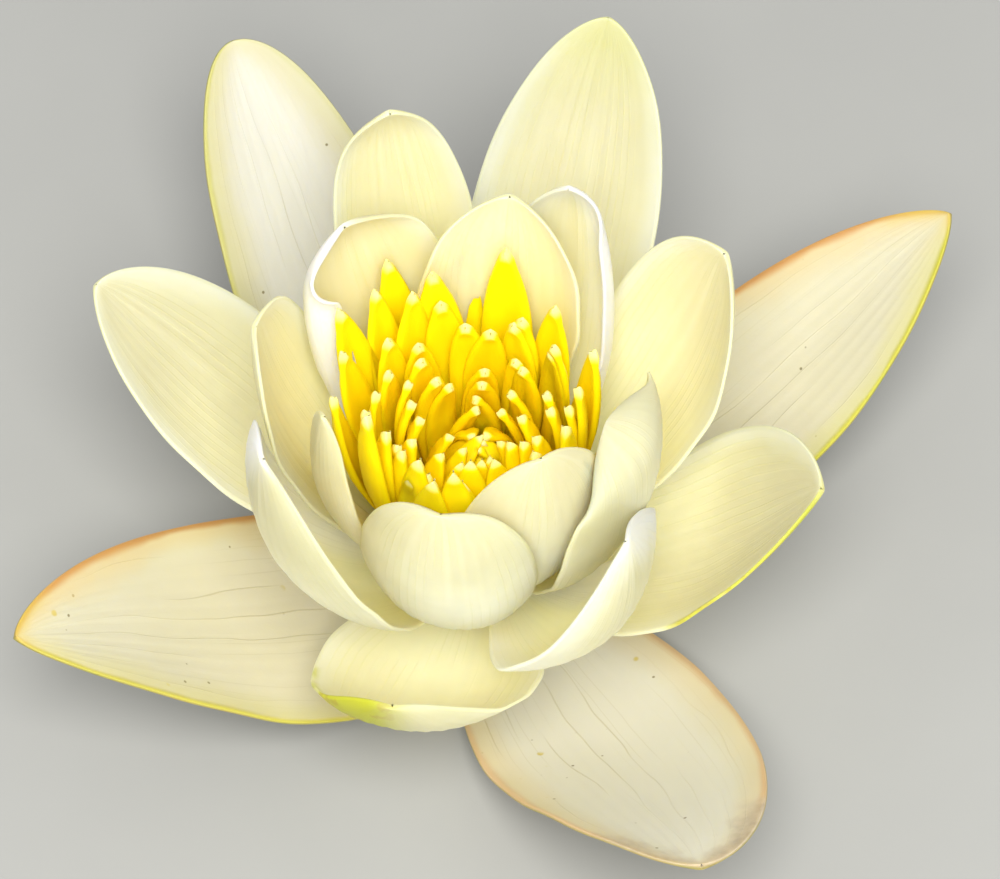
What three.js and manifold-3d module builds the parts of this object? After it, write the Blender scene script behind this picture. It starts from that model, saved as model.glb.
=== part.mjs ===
// A pale yellow, cup-shaped water lily bloom, picked close under the flower and set down upright.
// It rests on the flat cut under its receptacle, with the low bellies of its sepals round that
// cut, at the surface or a fraction of a millimetre above it.
// Millimetres, +Z up, seen from the front along +Y. The origin is the middle of the resting plane.
import * as THREE from 'three';
import { mergeVertices } from 'three/addons/utils/BufferGeometryUtils.js';
import Module from 'manifold-3d';

const wasm = await Module();
wasm.setup();

// ---- driving dimensions -------------------------------------------------------------------

const BLADE_ROWS = 12; // rows along a petal
const STAMEN_ROWS = 4; // rows along a stamen
const PROFILE_STEPS = 120; // steps of the midrib integral
const SECTION_STEPS = 24; // steps of the cross-section integral, margin to midrib
const TIP_CUT = 0.97; // the last row stops just short of the tip, so it keeps a small width
const TURN_POWER = 1.5; // a blade that swings round the axis does so mostly towards its tip
const HOOD_SHARE = 0.2; // the last part of the length, over which a hooded tip nods in

// A margin that folds inwards: the share of the half width where the fold starts and the share
// it takes, and the shares of the length over which it comes in and fades out.
const CURL = { start: 0.45, band: 0.4, comesIn: 0.35, fadesOut: 0.2, span: [0.2, 0.8] };

// Receptacle: [radius, height] of its turned outline, from the flat cut up to its top.
const RECEPTACLE = [[0, 0], [4.6, 0], [4.8, 2], [5, 3.8], [5.5, 5.6], [5.9, 7.6], [6.3, 9.8],
  [6.4, 11.4], [6, 12], [0, 12]];
const RECEPTACLE_SIDES = 24;

// The stigma disc is a shallow bowl with raised rays and a central knob. knobWidth and footWidth
// are shares of the radius.
const DISC = { radius: 5, foot: 12.3, rim: 14.6, dish: 1.3, knob: 1.1, knobWidth: 0.22, rays: 12,
  ridge: 0.45, footWidth: 0.9, rings: 6, sides: 36 };

// What the blades of one whorl share: where they spring from, their outline and their thickness.
// foot is [radius, height] of the base, claw the base width as a share of the full width, widest
// the place of the full width along the blade. The powers say how full the outline is below and
// above that place, tipRound how blunt the tip is. columns is how many strips cross the blade.
const WHORL = {
  sepal: { foot: [5.4, 2], claw: 0.38, widest: 0.46, basePower: 2, tipPower: 2, tipRound: 0.75,
    thick: 1, columns: 6 },
  outer: { foot: [5.9, 5], claw: 0.36, widest: 0.56, basePower: 1.8, tipPower: 2.1, tipRound: 0.62,
    thick: 0.9, columns: 6 },
  second: { foot: [6.3, 6.8], claw: 0.36, widest: 0.58, basePower: 1.8, tipPower: 2.2,
    tipRound: 0.6, thick: 0.9, columns: 8 },
  third: { foot: [6.7, 8.8], claw: 0.33, widest: 0.58, basePower: 1.8, tipPower: 2.2, tipRound: 0.6,
    thick: 0.8, columns: 8 },
  inner: { foot: [7, 10.8], claw: 0.33, widest: 0.58, basePower: 1.35, tipPower: 2.2, tipRound: 0.6,
    thick: 0.8, columns: 8 },
};

// Every blade: where it points (degrees counter-clockwise from +X), length along the midrib,
// width, rise (slope of the midrib at base, middle and tip), cup (how far the section wraps at
// base, middle and tip), turn (how far the tip swings round the axis), twist (how far base and
// tip roll about the midrib), curl (how far the clockwise and the counter-clockwise margin fold
// inwards, over curlSpan of the length) and hood (how far the tip nods in). Angles are degrees.
const BLADES = [
  { name: 'sepal_left', whorl: 'sepal', at: 202.5, length: 55.7, width: 28, rise: [-15, 36, 25],
    cup: [30, 40, 36], widest: 0.3, tipRound: 0.7, tipPower: 1.7, twist: [0, 12], turn: 7 },
  { name: 'sepal_front', whorl: 'sepal', at: 302, length: 56.5, width: 27.5, rise: [-22, 33, 32],
    cup: [30, 40, 34], turn: -20, widest: 0.4, twist: [-2, 4], tipRound: 0.5, tipPower: 2.2,
    claw: 0.46 },
  { name: 'sepal_right', whorl: 'sepal', at: 31, length: 64, width: 24.5, rise: [-19, 31, 36],
    cup: [30, 45, 40] },
  { name: 'sepal_back', whorl: 'sepal', at: 118.5, length: 65, width: 22.5, rise: [-20, 38, 44],
    cup: [30, 50, 60], tipRound: 0.5, widest: 0.5 },

  { name: 'petal_outer_left', whorl: 'outer', at: 160, length: 50, width: 22, rise: [20, 42, 50],
    cup: [60, 55, 50] },
  { name: 'petal_outer_back', whorl: 'outer', at: 73, length: 58, width: 22, rise: [20, 42, 55],
    cup: [60, 55, 50] },
  { name: 'petal_outer_right', whorl: 'outer', at: 346, length: 44, width: 26.5, rise: [8, 46, 58],
    cup: [50, 60, 60] },
  { name: 'petal_outer_front', whorl: 'outer', at: 255, length: 40, width: 25.5, rise: [4, 38, 85],
    cup: [60, 65, 70], twist: [-4, -8], widest: 0.36, tipRound: 0.55, claw: 0.45 },

  { name: 'petal_second_back', whorl: 'second', at: 108, length: 52, width: 17, rise: [24, 60, 68],
    cup: [80, 70, 60], hood: 50 },
  { name: 'petal_second_right', whorl: 'second', at: 28, length: 46, width: 22, rise: [22, 60, 82],
    cup: [80, 80, 70], tipRound: 0.5 },
  { name: 'petal_second_left', whorl: 'second', at: 215, length: 49.5, width: 27,
    rise: [19, 66, 99], cup: [70, 95, 70], turn: -13, claw: 0.3 },
  { name: 'petal_second_front', whorl: 'second', at: 305, length: 44, width: 28,
    rise: [16, 60.5, 106], cup: [80, 95, 92], turn: 14, tipPower: 1.6, tipRound: 0.7, widest: 0.56,
    twist: [8, -22], claw: 0.22, basePower: 1.5, foot: [6.5, 7.2] },

  { name: 'petal_third_left', whorl: 'third', at: 171, length: 42, width: 19.5,
    rise: [36, 66.5, 88], cup: [70, 65, 60], foot: [6.6, 8.4], claw: 0.28, tipRound: 0.38 },
  { name: 'petal_third_back_right', whorl: 'third', at: 61, length: 47, width: 20.5,
    rise: [37, 71, 95], cup: [60, 80, 75], foot: [6.7, 8.9], curl: [60, 0], hood: 30, claw: 0.3,
    curlSpan: [0.1, 0.98], turn: 20, tipRound: 0.8, widest: 0.43, tipPower: 1.8 },
  { name: 'petal_third_back_left', whorl: 'third', at: 134, length: 41.8, width: 24.5,
    rise: [46, 68, 87], cup: [55, 78, 80], foot: [6.9, 10.3], tipRound: 0.45, curl: [0, 112],
    curlSpan: [0.25, 0.98], hood: 30, columns: 12, claw: 0.25, basePower: 1.2 },
  { name: 'petal_third_right', whorl: 'third', at: 338, length: 39, width: 26.5,
    rise: [37, 71, 114], cup: [55, 90, 72], foot: [6.7, 8.8], tipRound: 0.42, widest: 0.62,
    hood: 66 },
  { name: 'petal_third_front', whorl: 'third', at: 259, length: 41.2, width: 23,
    rise: [24, 72, 108], cup: [100, 122, 105], tipRound: 0.4, basePower: 1.5, claw: 0.27 },

  { name: 'petal_inner_back', whorl: 'inner', at: 79.5, length: 40, width: 21.5, rise: [45, 74, 91],
    cup: [90, 120, 100], tipRound: 0.48, basePower: 1.2 },
  { name: 'petal_inner_front', whorl: 'inner', at: 296.5, length: 38, width: 21,
    rise: [43, 78.5, 108], cup: [100, 112, 110], foot: [7.2, 10.8], claw: 0.26 },
  { name: 'petal_inner_left', whorl: 'inner', at: 206, length: 38, width: 10.5, rise: [38, 74, 102],
    cup: [90, 90, 80] },
];

// Stamens stand in rings on a low collar. Each ring: how many, the azimuth of the first, length,
// width, rise, cup. The outer ones are broad and pointed, the inner ones blunter and bent in.
// collar is [inner radius, outer radius, top] of the collar, and root how deep in it they spring.
const COLLAR = { foot: 12.3, sides: 28, root: 0.5 };
const STAMEN_SHAPE = { claw: 0.7, widest: 0.5, basePower: 2, tipPower: 2.3, tipRound: 0.7,
  thick: 0.8, columns: 2 };
const STAMENS = {
  stamens_outer: {
    collar: [6.2, 6.9, 13.2],
    color: 0xf5dc1e,
    rings: [
      { count: 13, first: 18, length: 30, width: 5.8, rise: [50, 78, 94], cup: [50, 60, 50],
        tipRound: 0.9 },
      { count: 11, first: 5, length: 26, width: 5, rise: [58, 79, 101], cup: [40, 50, 50],
        tipRound: 0.8 },
    ],
  },
  stamens_inner: {
    collar: [5.2, 5.9, 14],
    color: 0xf2c218,
    rings: [
      { count: 10, first: 18, length: 22.5, width: 4.6, rise: [64, 82, 107], cup: [30, 40, 40] },
      { count: 8, first: 40, length: 20.3, width: 4, rise: [75, 89, 116], cup: [20, 30, 30] },
      { count: 7, first: 20, length: 18.3, width: 3.2, rise: [86, 97, 118], cup: [10, 20, 20] },
    ],
  },
};

const COLORS = { sepal: 0xe6ddb8, outer: 0xeee9bc, second: 0xf0ebba, third: 0xf2edb4,
  inner: 0xf5edaa, receptacle: 0xb9bd6a, disc: 0xeec927 };

// ---- shape of one blade -------------------------------------------------------------------

const radians = (degrees) => degrees * Math.PI / 180;
const clamp01 = (x) => Math.min(1, Math.max(0, x));

// The parabola through a at 0, b at one half and c at 1.
function throughThree([a, b, c], t) {
  return a * (1 - t) * (1 - 2 * t) + 4 * b * t * (1 - t) + c * t * (2 * t - 1);
}

function smoothstep(x) {
  const y = clamp01(x);
  return y * y * (3 - 2 * y);
}

// Share of the full width at t along the blade.
function widthShare(blade, t) {
  if (t < blade.widest) {
    return blade.claw + (1 - blade.claw) * (1 - (1 - t / blade.widest) ** blade.basePower);
  }
  const x = (t - blade.widest) / (1 - blade.widest);
  return Math.max(0, 1 - x ** blade.tipPower) ** blade.tipRound;
}

// The point at a radius from the axis, a direction in degrees and a height.
function around(radius, degrees, height) {
  const angle = radians(degrees);
  return new THREE.Vector3(radius * Math.cos(angle), radius * Math.sin(angle), height);
}

// The midrib: for each step its place, heading and slope.
function midrib(blade) {
  const [turn, hood] = [blade.turn ?? 0, blade.hood ?? 0];
  const points = [];
  const place = around(blade.foot[0], blade.at, blade.foot[1]);
  let before = null;
  for (let i = 0; i <= PROFILE_STEPS; i++) {
    const t = i / PROFILE_STEPS;
    const nod = hood * smoothstep((t - 1 + HOOD_SHARE) / HOOD_SHARE);
    const slope = radians(throughThree(blade.rise, t) + nod);
    const heading = blade.at + turn * t ** TURN_POWER;
    const along = around(Math.cos(slope), heading, Math.sin(slope));
    if (before) {
      place.addScaledVector(before.clone().add(along), blade.length / PROFILE_STEPS / 2);
    }
    before = along;
    points.push({ place: place.clone(), slope, heading });
  }
  return points;
}

// The section at t: for each column its sideways and inward offset and the angle of the surface.
function section(blade, t) {
  const wrap = radians(throughThree(blade.cup, t)) / 2;
  const [from, to] = blade.curlSpan ?? CURL.span;
  const fade = smoothstep((t - from) / CURL.comesIn) * smoothstep((to - t) / CURL.fadesOut);
  const [clockwise, counter] = blade.curl ?? [0, 0];
  const angle = (v) => {
    const edge = smoothstep((Math.abs(v) - CURL.start) / CURL.band) * fade;
    return wrap * v + radians(v > 0 ? counter : -clockwise) * edge;
  };
  const step = blade.width / 2 * widthShare(blade, t) / SECTION_STEPS;
  const walk = (side) => {
    const places = [[0, 0]];
    for (let k = 1; k <= SECTION_STEPS; k++) {
      const mid = angle(side * (k - 0.5) / SECTION_STEPS);
      const [x, y] = places[k - 1];
      places.push([x + side * step * Math.cos(mid), y + side * step * Math.sin(mid)]);
    }
    return places;
  };
  const sides = { [-1]: walk(-1), 1: walk(1) };
  const columns = [];
  for (let j = 0; j <= blade.columns; j++) {
    const v = 2 * j / blade.columns - 1;
    const exact = Math.abs(v) * SECTION_STEPS;
    const low = Math.floor(exact);
    const places = sides[v < 0 ? -1 : 1];
    const [a, b] = [places[low], places[Math.min(low + 1, SECTION_STEPS)]];
    const [x, y] = a.map((start, k) => start + (b[k] - start) * (exact - low));
    columns.push({ x, y, angle: angle(v) });
  }
  return columns;
}

// The blade as one closed solid: an inner and an outer face, alike in their triangles, and a rim.
function bladeGeometry(blade, rows) {
  const rib = midrib(blade);
  const [inner, outer] = [[], []];
  for (let i = 0; i <= rows; i++) {
    const t = Math.sin((i === rows ? i - 1 + TIP_CUT : i) / rows * Math.PI / 2);
    const low = Math.floor(t * PROFILE_STEPS);
    const place = rib[low].place.clone().lerp(rib[low + 1].place, t * PROFILE_STEPS - low);
    const { slope, heading } = rib[low];
    const sideways = around(1, heading + 90, 0);
    const inward = around(-Math.sin(slope), heading, Math.cos(slope));
    const along = new THREE.Vector3().crossVectors(sideways, inward);
    const [first, last] = blade.twist ?? [0, 0];
    const roll = radians(first + (last - first) * t);
    sideways.applyAxisAngle(along, -roll);
    inward.applyAxisAngle(along, -roll);
    for (const column of section(blade, t)) {
      const middle = place.clone().addScaledVector(sideways, column.x)
        .addScaledVector(inward, column.y);
      const normal = inward.clone().multiplyScalar(Math.cos(column.angle))
        .addScaledVector(sideways, -Math.sin(column.angle));
      inner.push(middle.clone().addScaledVector(normal, blade.thick / 2));
      outer.push(middle.addScaledVector(normal, -blade.thick / 2));
    }
  }
  return closedSheet(inner, outer, rows, blade.columns);
}

// Two grids of points, one behind the other, joined round their edge into a closed surface.
function closedSheet(front, back, rows, columns) {
  const place = (i, j) => i * (columns + 1) + j;
  const [index, behind] = [[], front.length];
  const edge = [];
  for (let j = 0; j < columns; j++) edge.push(place(0, j));
  for (let i = 0; i < rows; i++) edge.push(place(i, columns));
  for (let j = columns; j > 0; j--) edge.push(place(rows, j));
  for (let i = rows; i > 0; i--) edge.push(place(i, 0));
  for (let i = 0; i < rows; i++) {
    for (let j = 0; j < columns; j++) {
      const [a, b, c, d] = [place(i, j), place(i, j + 1), place(i + 1, j + 1), place(i + 1, j)];
      index.push(a, c, b, a, d, c);
      index.push(a + behind, b + behind, c + behind, a + behind, c + behind, d + behind);
    }
  }
  edge.forEach((a, k) => {
    const b = edge[(k + 1) % edge.length];
    index.push(a, b, b + behind, a, b + behind, a + behind);
  });
  const geometry = new THREE.BufferGeometry().setFromPoints([...front, ...back]);
  geometry.setIndex(index);
  geometry.computeVertexNormals();
  return geometry;
}

// ---- joining ------------------------------------------------------------------------------

function toSolid(geometry) {
  const bare = geometry.clone();
  bare.deleteAttribute('normal');
  bare.deleteAttribute('uv');
  const merged = mergeVertices(bare);
  return new wasm.Manifold(new wasm.Mesh({
    numProp: 3,
    vertProperties: new Float32Array(merged.attributes.position.array),
    triVerts: new Uint32Array(merged.index.array),
  }));
}

function toGeometry(solid) {
  const mesh = solid.getMesh();
  const geometry = new THREE.BufferGeometry();
  const places = new THREE.BufferAttribute(new Float32Array(mesh.vertProperties), 3);
  geometry.setAttribute('position', places);
  geometry.setIndex(new THREE.BufferAttribute(new Uint32Array(mesh.triVerts), 1));
  geometry.computeVertexNormals();
  return geometry;
}

// ---- the pieces ---------------------------------------------------------------------------

const flower = new THREE.Group();

function addPiece(name, geometry, color) {
  const material = new THREE.MeshStandardMaterial({ color, roughness: 0.55, metalness: 0 });
  const mesh = new THREE.Mesh(geometry, material);
  mesh.name = name;
  flower.add(mesh);
}

// Turned about the flower's axis, which a lathe takes as Y and the bloom as Z.
function turned(outline, sides) {
  const profile = outline.map(([radius, height]) => new THREE.Vector2(radius, height));
  return new THREE.LatheGeometry(profile, sides).rotateX(Math.PI / 2);
}

function addReceptacle() {
  addPiece('receptacle', turned(RECEPTACLE, RECEPTACLE_SIDES), COLORS.receptacle);
}

// The disc's upper face dips from the rim, rises to a knob and carries the rays as ridges.
function addStigmaDisc() {
  const height = (share, angle) => {
    const dip = DISC.dish * (1 - share * share);
    const knob = DISC.knob * Math.exp(-((share / DISC.knobWidth) ** 2));
    const ridge = DISC.ridge * Math.max(0, Math.cos(DISC.rays * angle)) * Math.sin(Math.PI * share);
    return DISC.rim - dip + knob + ridge;
  };
  const points = [new THREE.Vector3(0, 0, height(0, 0))];
  for (let i = 1; i <= DISC.rings; i++) {
    for (let j = 0; j < DISC.sides; j++) {
      const [share, turn] = [i / DISC.rings, 360 * j / DISC.sides];
      points.push(around(DISC.radius * share, turn, height(share, radians(turn))));
    }
  }
  for (let j = 0; j < DISC.sides; j++) {
    points.push(around(DISC.radius * DISC.footWidth, 360 * j / DISC.sides, DISC.foot));
  }
  points.push(new THREE.Vector3(0, 0, DISC.foot));
  const index = [];
  const at = (ring, j) => 1 + (ring - 1) * DISC.sides + j % DISC.sides;
  const last = points.length - 1;
  for (let j = 0; j < DISC.sides; j++) {
    index.push(0, at(1, j), at(1, j + 1));
    for (let ring = 1; ring <= DISC.rings; ring++) {
      const [a, b, c, d] = [at(ring, j), at(ring, j + 1), at(ring + 1, j + 1), at(ring + 1, j)];
      index.push(a, d, c, a, c, b);
    }
    index.push(last, at(DISC.rings + 1, j + 1), at(DISC.rings + 1, j));
  }
  const geometry = new THREE.BufferGeometry().setFromPoints(points);
  geometry.setIndex(index);
  geometry.computeVertexNormals();
  addPiece('stigma_disc', geometry, COLORS.disc);
}

function addBlades() {
  for (const own of BLADES) {
    const blade = { ...WHORL[own.whorl], ...own };
    addPiece(blade.name, bladeGeometry(blade, BLADE_ROWS), COLORS[blade.whorl]);
  }
}

// One node of stamens: a collar with every stamen of its rings sunk into it.
function addStamens(name, { collar, color, rings }) {
  const [inside, outside, top] = collar;
  const low = COLLAR.foot;
  const outline = [[inside, low], [outside, low], [outside, top], [inside, top], [inside, low]];
  let solid = toSolid(turned(outline, COLLAR.sides));
  const foot = [(inside + outside) / 2, top - COLLAR.root];
  for (const ring of rings) {
    for (let k = 0; k < ring.count; k++) {
      const stamen = { ...STAMEN_SHAPE, ...ring, foot, at: ring.first + 360 * k / ring.count };
      solid = solid.add(toSolid(bladeGeometry(stamen, STAMEN_ROWS)));
    }
  }
  addPiece(name, toGeometry(solid), color);
}

addReceptacle();
addStigmaDisc();
addBlades();
for (const [name, set] of Object.entries(STAMENS)) addStamens(name, set);

// Stand the bloom on its lowest points, with the middle of its box over the origin.
const box = new THREE.Box3().setFromObject(flower);
const middle = box.getCenter(new THREE.Vector3());
flower.position.set(-middle.x, -middle.y, -box.min.z);

export default flower;
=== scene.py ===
"""A pale yellow water lily bloom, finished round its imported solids.

Every sepal, petal and stamen is a curved blade: a midrib that bends, a width that swells and
tapers, and a cross-section that wraps. The same formula and the same few sizes made the solids,
so each fine piece stays where its solid is. Sizes of the flower are millimetres in its own
frame, with the axis of the flower at x = y = 0 and the cut of its stalk at z = 0.
"""

import math
import random

import bpy
import numpy as np
from mathutils import Euler, Matrix, Vector


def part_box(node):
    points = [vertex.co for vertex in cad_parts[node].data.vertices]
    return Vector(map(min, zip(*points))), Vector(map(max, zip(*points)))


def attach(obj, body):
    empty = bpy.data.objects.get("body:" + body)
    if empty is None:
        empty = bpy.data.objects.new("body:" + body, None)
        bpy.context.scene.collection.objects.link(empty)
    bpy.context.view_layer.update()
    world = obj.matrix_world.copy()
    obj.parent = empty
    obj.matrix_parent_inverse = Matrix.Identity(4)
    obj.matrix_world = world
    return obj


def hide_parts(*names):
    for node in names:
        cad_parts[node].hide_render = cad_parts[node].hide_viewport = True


bl_info = {
    "name": "Water lily bloom",
    "version": (1, 0, 0),
    "blender": (4, 5, 0),
    "location": "View3D > Sidebar > Water lily",
    "description": "Builds the petals, stamens and stage of a pale yellow water lily bloom",
    "category": "Object",
}

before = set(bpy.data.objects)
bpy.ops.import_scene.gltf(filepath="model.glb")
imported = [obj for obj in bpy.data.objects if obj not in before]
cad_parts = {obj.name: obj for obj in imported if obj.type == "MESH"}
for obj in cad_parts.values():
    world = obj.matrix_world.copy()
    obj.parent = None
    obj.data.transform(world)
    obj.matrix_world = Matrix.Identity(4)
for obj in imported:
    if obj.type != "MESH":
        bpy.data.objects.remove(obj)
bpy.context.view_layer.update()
BODY = "root"

MM = 0.001
RECEPTACLE_LOW, RECEPTACLE_HIGH = (Vector(corner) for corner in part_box("receptacle"))
AXIS_FOOT = Vector((
    (RECEPTACLE_LOW.x + RECEPTACLE_HIGH.x) / 2,
    (RECEPTACLE_LOW.y + RECEPTACLE_HIGH.y) / 2,
    RECEPTACLE_LOW.z,
))

# ---- sizes of the flower -------------------------------------------------------------------

PROFILE_STEPS = 160  # steps of the midrib integral
SECTION_STEPS = 40  # steps of the cross-section integral, midrib to margin
TIP_CUT = 0.97  # the last row stops just short of the tip
TURN_POWER = 1.5  # a blade that swings round the axis does so mostly towards its tip
HOOD_SHARE = 0.2  # the last part of the length, over which a hooded tip nods in
CURL_START = 0.45  # share of the half width where a folded margin starts to fold
CURL_BAND = 0.4  # share of the half width that the fold takes
CURL_COMES_IN = 0.35  # shares of the length over which a fold comes in and fades out
CURL_FADES_OUT = 0.2
CURL_SPAN = (0.2, 0.8)
TRAIT_BLEND = 6  # width across the midrib over which the looks of the two halves blend
HALF_TRAITS = ("blush", "olive", "patch", "bruise", "band")  # one value for each half of a blade
WHOLE_TRAITS = ("white", "tinge")  # one value for the whole blade
TIP_THINNING = 0.3  # share of a blade's thickness that is gone at its tip
THINNING_POWER = 3  # how late towards its margin a blade thins

# How a grown blade strays from its smooth form: a soft swell, and two waves that grow towards the
# margins. share is the share of the ripple, along counts half waves over the length and across
# over the half width, lean is how far one margin runs ahead of the other, and power how close to
# the margins the wave keeps.
SWELL = dict(share=0.45, along=2.2, across=1.6)
MARGIN_WAVES = (dict(share=0.35, along=5.2, lean=1.3, power=2),
                dict(share=0.25, along=9.5, lean=2.0, power=5))
RIBS = 13  # how many long ribs a blade has side by side
RIB_DRIFT, RIB_BEND = 0.8, 3  # how far and how fast the ribs drift sideways on their way up
GROOVE_DEPTH = 1.6  # depth of the groove along the midrib, in heights of a rib
GROOVE_WIDTH = 0.06  # share of the half width
EVEN_FOOT, EVEN_TIP = 0.25, 0.12  # shares of the length over which the straying sets in and ends

# What the blades of one whorl share: where they spring from as (radius, height), the width of
# the claw as a share of the full width, the place of the full width, how full the outline is
# below and above it, how blunt the tip is and how thick the blade is along its midrib.
WHORLS = {
    "sepal": dict(foot=(5.4, 2), claw=0.38, widest=0.46, base_power=2, tip_power=2,
                  tip_round=0.75, thick=1.0),
    "outer": dict(foot=(5.9, 5), claw=0.36, widest=0.56, base_power=1.8, tip_power=2.1,
                  tip_round=0.62, thick=0.9),
    "second": dict(foot=(6.3, 6.8), claw=0.36, widest=0.58, base_power=1.8, tip_power=2.2,
                   tip_round=0.6, thick=0.9),
    "third": dict(foot=(6.7, 8.8), claw=0.33, widest=0.58, base_power=1.8, tip_power=2.2,
                  tip_round=0.6, thick=0.8),
    "inner": dict(foot=(7, 10.8), claw=0.33, widest=0.58, base_power=1.35, tip_power=2.2,
                  tip_round=0.6, thick=0.8),
}

# Every blade: where it points (degrees counter-clockwise from +X), length, width, rise (slope of
# the midrib at base, middle and tip), cup (how far the section wraps there), turn (swing of the
# tip round the axis), twist (roll about the midrib at base and tip), curl (fold of the clockwise
# and the counter-clockwise margin, over curl_span) and hood (nod of the tip). Traits of the
# clockwise and the counter-clockwise half: blush and olive (an orange-red and a green margin),
# patch (a green patch outside), bruise (a worn grey tip) and band (a painted highlight along a
# folded margin). Traits of the whole blade: white (a whiter middle, partly the sepal's own paler
# colour and partly painted light that lifts a sepal in shade) and tinge (a greener tip).
BLADES = {
    "sepal_left": dict(whorl="sepal", at=202.5, length=55.7, width=28, rise=(-15, 36, 25),
        cup=(30, 40, 36), widest=0.3, tip_round=0.7, tip_power=1.7, twist=(0, 12), turn=7,
        blush=(1, 0.1), olive=(0.5, 0.9)),
    "sepal_front": dict(whorl="sepal", at=302, length=56.5, width=27.5, rise=(-22, 33, 32),
        cup=(30, 40, 34), turn=-20, widest=0.4, twist=(-2, 4), tip_round=0.5, tip_power=2.2,
        claw=0.46, blush=(0.55, 0.6), olive=(0, 0), bruise=(0.7, 1), white=0.6),
    "sepal_right": dict(whorl="sepal", at=31, length=64, width=24.5, rise=(-19, 31, 36),
        cup=(30, 45, 40), blush=(0, 1), olive=(1, 0.3)),
    "sepal_back": dict(whorl="sepal", at=118.5, length=65, width=22.5, rise=(-20, 38, 44),
        cup=(30, 50, 60), tip_round=0.5, widest=0.5, blush=(0, 0), olive=(0.25, 0.6), white=1),
    "petal_outer_left": dict(whorl="outer", at=160, length=50, width=22, rise=(20, 42, 50),
        cup=(60, 55, 50)),
    "petal_outer_back": dict(whorl="outer", at=73, length=58, width=22, rise=(20, 42, 55),
        cup=(60, 55, 50), tinge=1),
    "petal_outer_right": dict(whorl="outer", at=346, length=44, width=26.5, rise=(8, 46, 58),
        cup=(50, 60, 60), patch=(0.9, 0)),
    "petal_outer_front": dict(whorl="outer", at=255, length=40, width=25.5, rise=(4, 38, 85),
        cup=(60, 65, 70), twist=(-4, -8), widest=0.36, tip_round=0.55, claw=0.45, patch=(1, 0)),
    "petal_second_back": dict(whorl="second", at=108, length=52, width=17, rise=(24, 60, 68),
        cup=(80, 70, 60), hood=50),
    "petal_second_right": dict(whorl="second", at=28, length=46, width=22, rise=(22, 60, 82),
        cup=(80, 80, 70), tip_round=0.5),
    "petal_second_left": dict(whorl="second", at=215, length=49.5, width=27, rise=(19, 66, 99),
        cup=(70, 95, 70), turn=-13, claw=0.3, band=(1, 0)),
    "petal_second_front": dict(whorl="second", at=305, length=44, width=28, rise=(16, 60.5, 106),
        cup=(80, 95, 92), turn=14, tip_power=1.6, tip_round=0.7, widest=0.56, twist=(8, -22),
        claw=0.22, base_power=1.5, foot=(6.5, 7.2), band=(0.3, 1)),
    "petal_third_left": dict(whorl="third", at=171, length=42, width=19.5, rise=(36, 66.5, 88),
        cup=(70, 65, 60), foot=(6.6, 8.4), claw=0.28, tip_round=0.38),
    "petal_third_back_right": dict(whorl="third", at=61, length=47, width=20.5, rise=(37, 71, 95),
        cup=(60, 80, 75), foot=(6.7, 8.9), curl=(60, 0), hood=30, claw=0.3, curl_span=(0.1, 0.98),
        turn=20, tip_round=0.8, widest=0.43, tip_power=1.8, band=(1, 0.3)),
    "petal_third_back_left": dict(whorl="third", at=134, length=41.8, width=24.5,
        rise=(46, 68, 87), cup=(55, 78, 80), foot=(6.9, 10.3), tip_round=0.45, curl=(0, 112),
        curl_span=(0.25, 0.98), hood=30, claw=0.25, base_power=1.2, band=(0, 1)),
    "petal_third_right": dict(whorl="third", at=338, length=39, width=26.5, rise=(37, 71, 114),
        cup=(55, 90, 72), foot=(6.7, 8.8), tip_round=0.42, widest=0.62, hood=66),
    "petal_third_front": dict(whorl="third", at=259, length=41.2, width=23, rise=(24, 72, 108),
        cup=(100, 122, 105), tip_round=0.4, base_power=1.5, claw=0.27),
    "petal_inner_back": dict(whorl="inner", at=79.5, length=40, width=21.5, rise=(45, 74, 91),
        cup=(90, 120, 100), tip_round=0.48, base_power=1.2),
    "petal_inner_front": dict(whorl="inner", at=296.5, length=38, width=21, rise=(43, 78.5, 108),
        cup=(100, 112, 110), foot=(7.2, 10.8), claw=0.26),
    "petal_inner_left": dict(whorl="inner", at=206, length=38, width=10.5, rise=(38, 74, 102),
        cup=(90, 90, 80)),
}

FULL_TURN = 360
SEED_STEP = 10  # how far the seeds of two rings of stamens lie apart

# Rings of stamens. Each set springs from one foot (radius, height). Each ring: how many, the
# azimuth of the first, the angle that it fills if not all round, length, width, rise and cup. The
# last two rings of each set fill the gaps that the others leave.
STAMEN_SHAPE = dict(claw=0.7, widest=0.5, base_power=2, tip_power=2.3, tip_round=0.7, thick=0.8)
STAMENS = {
    "stamens_outer": dict(foot=(6.55, 12.7), rings=[
        dict(count=13, first=18, length=30, width=5.8, rise=(50, 78, 94), cup=(50, 60, 50),
             tip_round=0.9),
        dict(count=11, first=5, length=26, width=5, rise=(58, 79, 101), cup=(40, 50, 50),
             tip_round=0.8),
        dict(count=12, first=30, length=24, width=4.8, rise=(60, 81, 104), cup=(40, 50, 50),
             tip_round=0.8),
        dict(count=4, first=104, fills=60, length=30.5, width=5.8, rise=(46, 70, 86),
             cup=(50, 60, 50), tip_round=0.9),
    ]),
    "stamens_inner": dict(foot=(5.55, 13.5), rings=[
        dict(count=10, first=18, length=22.5, width=4.6, rise=(64, 82, 107), cup=(30, 40, 40)),
        dict(count=8, first=40, length=20.3, width=4, rise=(75, 89, 116), cup=(20, 30, 30)),
        dict(count=7, first=20, length=18.3, width=3.2, rise=(86, 97, 118), cup=(10, 20, 20)),
        dict(count=9, first=10, length=21.3, width=4.2, rise=(70, 86, 113), cup=(20, 30, 30)),
        dict(count=7, first=55, length=17, width=3.4, rise=(90, 106, 146), cup=(10, 20, 20)),
    ]),
}

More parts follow.
